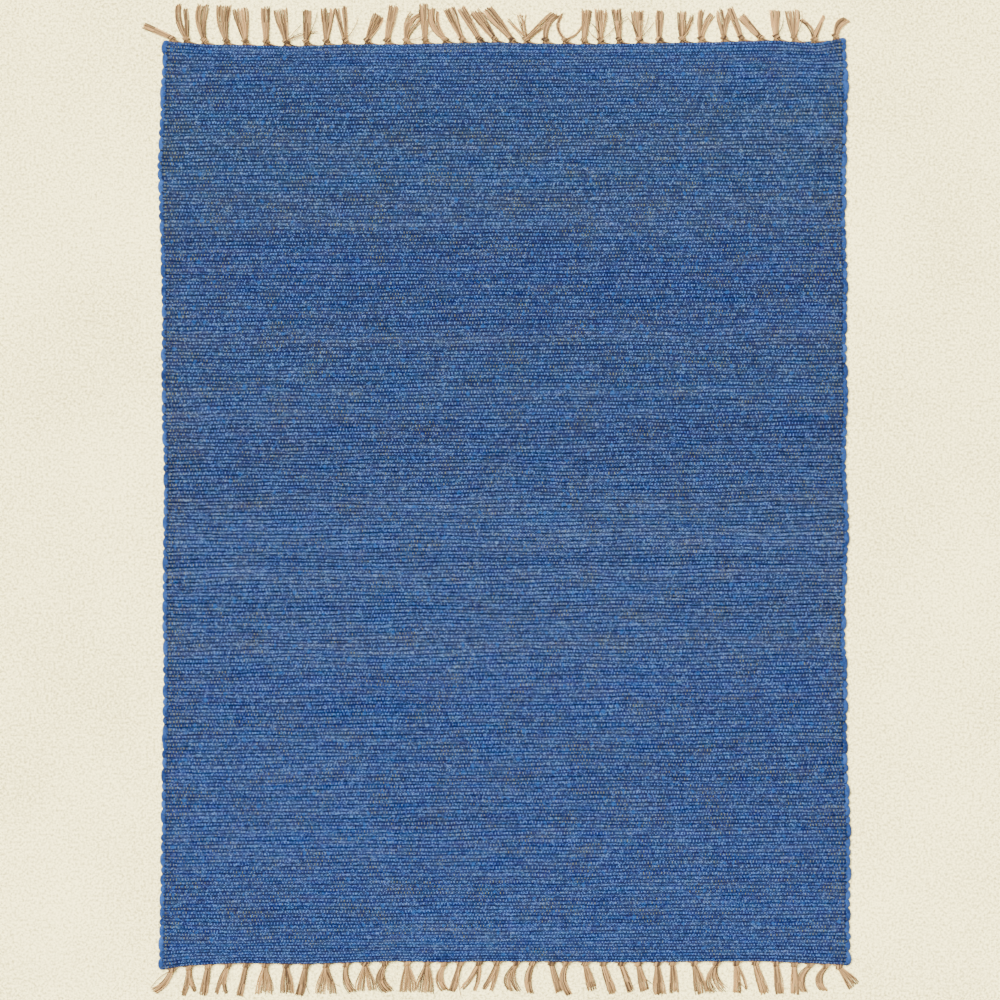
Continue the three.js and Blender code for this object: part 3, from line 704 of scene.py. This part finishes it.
def ground_cloth():
    """The lower half of the cloth, which lies on the floor: a closed thin slab whose underside has the rows
    as shallow ribs, pressed flat."""
    row = np.arange(0, ROWS * 2 + 1)[:, None] / 2
    along = row / ROWS
    share = np.linspace(0, 1, 13)
    left, right = side_x(False, along, SHEET_IN), side_x(True, along, SHEET_IN)
    x = left + (right - left) * share
    y = row_y(x, along) + np.where(row == 0, SHEET_SHORT, 0) - np.where(row == ROWS, SHEET_SHORT, 0)
    under = joined(x, y, (1 - np.abs(np.sin(np.pi * row))) * 0.8).reshape(-1, 3)
    over = joined(x, y, SHEET_TOP).reshape(-1, 3)
    grid = np.arange(x.size).reshape(x.shape)
    rim = np.concatenate([grid[0], grid[1:, -1], grid[-1, -2::-1], grid[-2:0:-1, 0]])
    after = np.roll(rim, -1)
    walls = joined(rim, after, after + x.size, rim + x.size)
    bottom = grid_faces(*x.shape)[:, ::-1]
    top = grid_faces(*x.shape) + x.size
    uv = joined(share * WARPS, row).reshape(-1, 2)
    return put_mesh("ground_cloth", np.concatenate([under, over]), [bottom, top, walls],
                    [True, False, False], np.concatenate([uv, uv]))


def selvage_loops(name, is_right):
    """The weft's turns along one long edge: for each loop a flattened yarn that leaves a row, swings out by a
    low power of the sine of half a turn, and goes back in a few rows on."""
    chance = np.random.default_rng(SEED + 60 + is_right)
    rows, reach = np.tile(LOOPS, (ROWS // int(LOOPS[:, 0].sum()) + 2, 1)).T
    start = np.concatenate([[0], np.cumsum(rows)[:-1]]) - (RIGHT_SHIFT if is_right else 0)
    inside = (start + rows > 0.9) & (start < ROWS - 0.9)
    start, rows, reach = start[inside], rows[inside], reach[inside]
    finish = np.minimum(start + rows, ROWS)
    start = np.maximum(start, 0)
    reach = reach * 0.55 * (RIGHT_REACH if is_right else LEFT_REACH) + 1.6 * chance.random(len(start))
    lobes = RIGHT_LOBES if is_right else LEFT_LOBES
    start = np.concatenate([start + 0.35 * (chance.random(len(start)) - 0.5), lobes[:, 0]])
    finish = np.concatenate([finish + 0.35 * (chance.random(len(finish)) - 0.5), lobes[:, 0] + lobes[:, 1]])
    reach = np.concatenate([reach, lobes[:, 2]])[:, None]
    start, finish = (np.clip(row, 0, ROWS)[:, None] for row in (start, finish))
    share = np.linspace(0, 1, 13)
    swing = np.sin(np.pi * share) ** (0.45 + 0.25 * chance.random(start.shape))
    row = start + LOOP_GAP + (finish - start - 2 * LOOP_GAP) * (1 - np.cos(np.pi * share)) / 2
    wide = 2.8 + (2.0 + 0.35 * (finish - start)) * swing + 0.9 * (chance.random(start.shape) - 0.5)
    x = side_x(is_right, row / ROWS, LOOP_FOOT - (LOOP_FOOT - wide + reach) * swing)
    z = LOOP_Z + 0.3 * np.sin(np.pi * share)
    points, faces, uv = tubes(joined(x, row_y(x, row / ROWS)), z, wide, 2.2 + 1.3 * swing, 8)
    return put_mesh(name, points, faces, [True, False, False], uv)


def fringe_frame(end, tassels):
    """For each tassel: its knot's middle, the way it points and the way across it, all in the plane."""
    at, lean, reach = tassels[:, :3].T
    length = np.hypot(lean, reach)
    way = joined(lean / length, end["out"] * reach / length)
    side = joined(reach / length, -end["out"] * lean / length)
    middle = joined(at, edge_at(end["edge"], at) + end["out"] * end["knot_off"])
    return middle, way, side, length


def laid_out(middle, side, sideways, way, forwards):
    """Points in the plane for many lines: from each line's middle, so far sideways and so far forwards."""
    return middle[:, None] + side[:, None] * sideways[..., None] + way[:, None] * forwards[..., None]


def tassel_strands(end, look, seed):
    """The hanging strands, in a sheaf for each tassel and for each lock that parts from one. A strand runs
    outwards from the knot, at a distance to the side that grows from the knot's half width to the fan's, plus
    the sheaf's bow and a sway of its own. Its height sinks to the floor. Lengths differ."""
    chance = np.random.default_rng(SEED + seed)
    tassels, locks = end["tassels"], end["locks"]
    owner = locks[:, 0].astype(int) - 1
    lock_rows = np.column_stack([tassels[owner, 0], locks[:, 1:5], 0 * owner])
    taken = np.bincount(owner, weights=locks[:, 5], minlength=len(tassels)).astype(int)
    counts = np.concatenate([look.strands - taken, locks[:, 5].astype(int)])
    sheaves = np.concatenate([tassels, lock_rows])
    middle, way, side, length = fringe_frame(end, sheaves)
    sheaf = np.repeat(np.arange(len(sheaves)), counts)
    column = (len(sheaf), 1)
    number = (np.arange(len(sheaf)) - np.repeat(np.cumsum(counts) - counts, counts))[:, None]
    place = (number + 0.2 + 0.6 * chance.random(column)) / counts[sheaf][:, None] - 0.5
    fan, bow, part = sheaves[sheaf, 3:].T[..., None]
    share = np.linspace(0, 1, 7)
    parted = np.sign(place) * (0.5 + np.abs(place)) / 2
    spread = place + (parted - place) * part * share
    waist = np.minimum(WAIST, fan + 2.0)
    wide = waist + (fan * 1.08 - waist) * np.sin(np.pi / 2 * share) ** 1.25
    frayed = np.where(chance.random(column) < BROKEN, BROKEN_LENGTH, 1.0)
    long = length[sheaf][:, None] * (frayed * (0.965 + 0.07 * chance.random(column)))
    sway = (chance.random((len(sheaf), 2)) - 0.5) * STRAND_SWAY
    sideways = (spread * wide + bow * 3.6 * share * (1 - share)
                + sway[:, :1] * np.sin(np.pi * share) + sway[:, 1:] * np.sin(2 * np.pi * share) * 0.5)
    flat = laid_out(middle[sheaf], side[sheaf], sideways, way[sheaf], 2.0 + (long - 2.0) * share)
    radius = look.strand_width / 2 / MM
    z = radius + 3.6 * (1 - share) ** 1.6 * np.sqrt(np.maximum(0, 1 - (2 * place) ** 2 * 0.7)) + 0.4
    z = z + number % 2 * 1.2 * (1 - 0.5 * share) - 0.4 * share
    taper = radius * (1 - 0.25 * share ** 4)
    return tubes(flat, z, taper, taper * 0.9, 4)


def root_strands(end, look, seed):
    """The warps between the cloth and the knots: each leaves the cloth at its own place, runs along the edge
    and draws in to the back of the knot, on a curve of the second degree."""
    chance = np.random.default_rng(SEED + seed)
    edge, tassels, out = end["edge"], end["tassels"], end["out"]
    tassel = np.repeat(np.arange(len(tassels)), look.strands)
    place = np.tile(np.linspace(0, 1, look.strands), len(tassels))
    low, high = end["roots"]
    root_x = tassels[tassel, 0] + low + (high - low) * place
    root_x = np.clip(root_x, LEFT_EDGE[0, 1] + 12, RIGHT_EDGE[-1, 1] - 6)
    knot = fringe_frame(end, tassels)[0][tassel] + joined((place - 0.5) * 6.0, -out * 2.4)
    bend_x = root_x + (knot[:, 0] - root_x) * 0.78
    bend_y = edge_at(edge, bend_x) + out * (0.6 + 2.4 * chance.random(len(place)))
    share = np.linspace(0, 1, 4)[:, None]
    start = joined(root_x, edge_at(edge, root_x) - out * 1.6)[:, None]
    bend = joined(bend_x, bend_y)[:, None]
    flat = start * (1 - share) ** 2 + bend * 2 * share * (1 - share) + knot[:, None] * share ** 2
    radius = look.strand_width / 2 / MM
    z = 3.6 + 1.6 * share[:, 0] + (chance.random((len(place), 1)) - 0.5) * 2.2
    return tubes(flat, np.maximum(z, radius + 0.1), radius, radius, 3)


def knot_axes(end, seed):
    """Each knot's middle and its two directions in the plane: along its width, which slants as the warps come
    in, and across it."""
    middle = fringe_frame(end, end["tassels"])[0]
    angle = end["slant"] + (np.random.default_rng(SEED + seed).random(len(middle)) - 0.5) * 0.5
    return middle, joined(np.cos(angle), np.sin(angle)), joined(-np.sin(angle), np.cos(angle))


def knot_turns(end, seed):
    """The knots: bundles of strands that go round the warps on tilted ellipses, side by side along the knot's
    width and smaller towards its ends."""
    middle, along, across = knot_axes(end, seed)
    chance = np.random.default_rng(SEED + seed + 1)
    tassel = np.repeat(np.arange(len(middle)), KNOT_TURNS)
    place = np.tile(np.linspace(-1, 1, KNOT_TURNS), len(middle))[:, None]
    angle = np.linspace(0, 2 * np.pi, 11)
    half = np.sqrt(1 - 0.55 * place ** 2)
    tilt = (1.2 + 1.4 * chance.random(len(middle)))[tassel][:, None]
    lengthways = KNOT_LENGTH * place + tilt * np.cos(angle)
    crossways = KNOT_WIDTH * half * np.cos(angle)
    flat = laid_out(middle[tassel], along[tassel], lengthways, across[tassel], crossways)
    return tubes(flat, KNOT_Z + KNOT_HEIGHT * half * np.sin(angle), 1.2, 1.2, 4)


def knot_cores(end, seed):
    """The strands inside each knot, as one closed rounded bundle along its width."""
    middle, along, _ = knot_axes(end, seed)
    share = np.linspace(-1, 1, 7)
    flat = middle[:, None] + along[:, None] * (7.2 * share)[:, None]
    round_off = np.sqrt(1.02 - share ** 2)
    return tubes(flat, 4.6, 4.3 * round_off, 3.8 * round_off, 8)


def stray_strands(end, look):
    """Single strands that leave their tassel's sheaf: from the knot's front to a tip, with a bow sideways."""
    strays = end["strays"]
    start = fringe_frame(end, end["tassels"])[0][strays[:, 0].astype(int) - 1]
    share = np.linspace(0, 1, 12)
    ahead = strays[:, 1:3] - start
    side = joined(ahead[:, 1], -ahead[:, 0]) / np.linalg.norm(ahead, axis=1, keepdims=True)
    flat = laid_out(start, ahead, share[None], strays[:, 3:] * side, 4 * (share * (1 - share))[None])
    radius = look.strand_width / 2 / MM * 0.95
    wide = radius * (1 - 0.5 * share ** 3)
    return tubes(flat, radius + 5.2 * (1 - share ** 2), wide, wide, 4)


def fringe(name, end, look, seed):
    """A whole fringe as one mesh of many closed strands, darker and browner in the roots, the knots and the
    loose strands.
    """
    kinds = [
        (tassel_strands(end, look, seed), 0.0),
        (root_strands(end, look, seed + 1), -0.15),
        (knot_turns(end, seed + 2), -0.1),
        (knot_cores(end, seed + 2), -0.18),
        (stray_strands(end, look), -0.14),
    ]
    faces, first = [], 0
    for (points, groups, _), _ in kinds:
        faces += [group + first for group in groups]
        first += len(points)
    points, uv = (np.concatenate([kind[item] for kind, _ in kinds]) for item in (0, 2))
    shade = np.concatenate([np.full((len(kind[0]), 1), lighter) for kind, lighter in kinds])
    return put_mesh(name, points, faces, [True, False, False] * len(kinds), uv, shade)


# Settings that a user may change

def paint(name, description, default):
    """A setting for a colour, with an sRGB hex colour as its default."""
    return bpy.props.FloatVectorProperty(
        name=name, description=description, size=4, subtype="COLOR", default=linear(default))


class RugLook(bpy.types.PropertyGroup):
    """The fringe's strands, and the colours of the wool, the jute and the floor"""
    strands: bpy.props.IntProperty(
        name="Strands", description="Warp strands in a tassel", default=18, min=6, max=24)
    strand_width: bpy.props.FloatProperty(
        name="Strand width", description="Thickness of a jute strand", default=0.0019, unit="LENGTH")
    wool_blue: paint("Wool", "The wool's middle blue", "304C80")
    wool_dark: paint("Dark wool", "The wool's darkest fibres", "162652")
    wool_light: paint("Light wool", "The wool's lightest fibres", "5276BC")
    wool_grey: paint("Undyed fibres", "Fibres that took less dye", "4C586E")
    wool_slub: paint("Slubs", "Thick soft places in the yarn", "3061A7")
    # painted shade for the grooves, the rows' rim and the channel beside each selvage
    groove_shade: paint("Grooves", "Between the rows", "040F30")
    fuzz: paint("Covered stitches", "Warp stitches under the wool's fuzz", "5E88D4")
    jute_shows: paint("Bare stitches", "Warp stitches where the jute shows", "7A7E62")
    loop_dark: paint("Dark selvage", "The selvage loops' darker fibres", "122A60")
    loop_light: paint("Light selvage", "The selvage loops' lighter fibres", "3C68B4")
    far_jute: paint("Far jute", "The far fringe's light fibres", "FFCC85")
    far_jute_dark: paint("Dark far jute", "The far fringe's dark fibres", "604A39")
    near_jute: paint("Near jute", "The near fringe's light fibres", "FFCC83")
    near_jute_dark: paint("Dark near jute", "The near fringe's dark fibres", "67503E")
    floor_light: paint("Floor", "The floor's lighter patches", "FFF0A7")
    floor_dark: paint("Dark floor", "The floor's darker specks", "A4965F")


# Operators, one for each group of like pieces

class RUG_OT_cloth(bpy.types.Operator):
    """Makes the woven cloth: its lower half as one sheet, and its rows of weft in bands"""
    bl_idname = "rug.cloth"
    bl_label = "Woven cloth"

    def execute(self, context):
        look = context.scene.rug_look
        wool = woven_wool(look)
        dress(ground_cloth(), wool, "woven_field")
        ends = np.linspace(0, ROWS, len(BAND_NAMES) + 1).round().astype(int)
        for name, first, last in zip(BAND_NAMES, ends, ends[1:]):
            dress(row_band(name, first, last), wool, "woven_field")
        turned = loop_wool(look)
        for name, is_right in (("selvage_left", False), ("selvage_right", True)):
            dress(selvage_loops(name, is_right), turned, "woven_field")
        return {"FINISHED"}


class RUG_OT_fringes(bpy.types.Operator):
    """Makes the two fringes of knotted jute strands"""
    bl_idname = "rug.fringes"
    bl_label = "Fringes"

    def execute(self, context):
        look = context.scene.rug_look
        far = jute_yarn("far_jute_yarn", look.far_jute, look.far_jute_dark)
        near = jute_yarn("near_jute_yarn", look.near_jute, look.near_jute_dark)
        dress(fringe("fringe_far_strands", FAR_END, look, 100), far, "fringe_far")
        dress(fringe("fringe_near_strands", NEAR_END, look, 200), near, "fringe_near")
        return {"FINISHED"}


class RUG_OT_declare(bpy.types.Operator):
    """Stops with an error unless the sheet of cloth and the pieces on it have been made"""
    bl_idname = "rug.declare"
    bl_label = "Declare the cloth"

    def execute(self, context):
        names = [*BAND_NAMES, "selvage_left", "selvage_right", "fringe_far_strands", "fringe_near_strands"]
        missing = [name for name in names + ["ground_cloth"] if name not in bpy.data.objects]
        if missing:
            raise RuntimeError(f"make these first: {missing}")
        return {"FINISHED"}


def add_lamp(context, name, towards, strength, width):
    """Adds a soft, far light that shines from a direction, as wide as an angle in degrees."""
    light = bpy.data.lights.new(name, "SUN")
    light.energy = strength
    light.angle = np.radians(width)
    lamp = bpy.data.objects.new(name, light)
    lamp.location = Vector(towards) * 3
    lamp.rotation_euler = Vector(towards).to_track_quat("Z", "Y").to_euler()
    context.collection.objects.link(lamp)
    return lamp


class RUG_OT_stage(bpy.types.Operator):
    """Makes the floor, the soft light and the camera straight above"""
    bl_idname = "rug.stage"
    bl_label = "Stage"

    def execute(self, context):
        look = context.scene.rug_look
        mesh = bpy.data.meshes.new("floor")
        signs = ((-1, -1), (1, -1), (1, 1), (-1, 1))
        mesh.from_pydata([(FLOOR_HALF * x, FLOOR_HALF * y, FLOOR_Z) for x, y in signs], [], [(0, 1, 2, 3)])
        floor = bpy.data.objects.new("floor", mesh)
        floor.data.materials.append(plaster_floor(look))
        context.collection.objects.link(floor)

        world = bpy.data.worlds.new("soft_studio")
        world.use_nodes = True
        background = world.node_tree.nodes["Background"]
        background.inputs["Color"].default_value = linear("FFFFFF")
        background.inputs["Strength"].default_value = 0.84
        context.scene.world = world
        add_lamp(context, "soft_key", (-0.55, 0.45, 1.0), 4.0, 35)
        wash = add_lamp(context, "floor_wash", (-0.45, 0.4, 1.0), 13.0, 50)
        # the wash lights the floor alone, so that it is as pale as in a bright studio
        only_floor = bpy.data.collections.new("lit_by_wash")
        only_floor.objects.link(floor)
        wash.light_linking.receiver_collection = only_floor

        # straight above: the picture's middle is 1 mm left of and 2.05 mm beyond the drawing's own middle
        lens = bpy.data.cameras.new("camera")
        lens.sensor_width = 36
        lens.lens = lens.sensor_width * (CAMERA_Z - PICTURE_Z) / PICTURE
        lens.clip_end = 100
        camera = bpy.data.objects.new("camera", lens)
        camera.location = (-0.001 + SHIFT[0], 0.00205 + SHIFT[1], CAMERA_Z)
        context.collection.objects.link(camera)
        context.scene.camera = camera
        return {"FINISHED"}


class RUG_PT_panel(bpy.types.Panel):
    """Lists the rug's pieces and settings in the sidebar"""
    bl_idname = "RUG_PT_panel"
    bl_label = "Rug"
    bl_space_type = "VIEW_3D"
    bl_region_type = "UI"
    bl_category = "Rug"

    def draw(self, context):
        for operator in (RUG_OT_cloth, RUG_OT_fringes, RUG_OT_declare, RUG_OT_stage):
            self.layout.operator(operator.bl_idname)
        for name in RugLook.__annotations__:
            self.layout.prop(context.scene.rug_look, name)


CLASSES = (RugLook, RUG_OT_cloth, RUG_OT_fringes, RUG_OT_declare, RUG_OT_stage, RUG_PT_panel)


def register():
    for entry in CLASSES:
        bpy.utils.register_class(entry)
    bpy.types.Scene.rug_look = bpy.props.PointerProperty(type=RugLook)


def unregister():
    del bpy.types.Scene.rug_look
    for entry in reversed(CLASSES):
        bpy.utils.unregister_class(entry)


def main():
    register()
    bpy.ops.rug.cloth()
    bpy.ops.rug.fringes()
    bpy.ops.rug.declare()
    bpy.ops.rug.stage()


if __name__ == "__main__":
    main()
